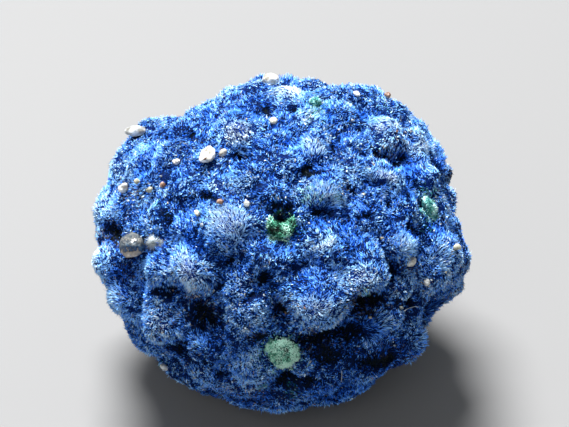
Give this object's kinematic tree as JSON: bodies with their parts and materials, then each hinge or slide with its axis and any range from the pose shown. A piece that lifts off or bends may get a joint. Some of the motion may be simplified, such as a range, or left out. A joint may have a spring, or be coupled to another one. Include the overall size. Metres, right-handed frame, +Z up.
{
  "type": "azurite nodule",
  "caption": "Rough ball of blue azurite with a lumpy, hollowed surface, small green malachite growths and held grains of sand. It rests on a worn flat underside.",
  "frame": {"origin": "on the surface the nodule rests on, under the middle of its width and depth", "axes": "+X to the right and +Y away as the nodule is seen in the picture, +Z up"},
  "size_m": [0.0248, 0.0246, 0.0216],
  "materials": {
    "azurite": "matt, velvety, deep azure blue with paler tops",
    "malachite": "matt, fibrous, mint to deep green",
    "sand_white": "slightly glossy quartz",
    "sand_cream": "slightly glossy quartz",
    "sand_grey": "glassy grey quartz",
    "sand_rust": "iron-stained quartz"
  },
  "bodies": {
    "root": {"azurite_nodule": "azurite", "malachite_disc": "malachite", "malachite_vein": "malachite", "malachite_crest": "malachite", "malachite_back_disc": "malachite", "malachite_back_vein": "malachite", "malachite_side": "malachite", "malachite_pocket_lining": "malachite", "sand_grain_crest": "sand_white", "sand_grain_left_shoulder": "sand_grey", "sand_grain_pierced": "sand_white", "sand_grain_beside_pierced": "sand_white", "sand_grain_upper_middle": "sand_cream", "sand_grain_upper_left": "sand_white", "sand_grain_left_cluster": "sand_grey", "sand_grain_left_pale": "sand_cream", "sand_grain_left_yellow": "sand_cream", "sand_grain_left_rose": "sand_rust", "sand_grain_rust": "sand_rust", "sand_grain_above_tuft": "sand_grey", "sand_grain_beside_tuft": "sand_cream", "sand_grain_great": "sand_grey", "sand_grain_great_neighbour": "sand_white", "sand_grain_upper_right": "sand_white", "sand_grain_right_crest": "sand_rust", "sand_grain_right_hollow": "sand_cream", "sand_grain_right_edge": "sand_cream", "sand_grain_right_low": "sand_grey", "sand_grain_back_great": "sand_grey", "sand_grain_back_white": "sand_white", "sand_grain_back_left": "sand_cream", "sand_grain_back_low": "sand_cream", "sand_grain_back_rust": "sand_rust", "sand_grain_right_back": "sand_white", "sand_grain_right_side": "sand_grey", "sand_grain_left_back": "sand_white", "sand_grain_left_side": "sand_cream", "sand_grain_front_low": "sand_grey"}
  },
  "joints": []
}
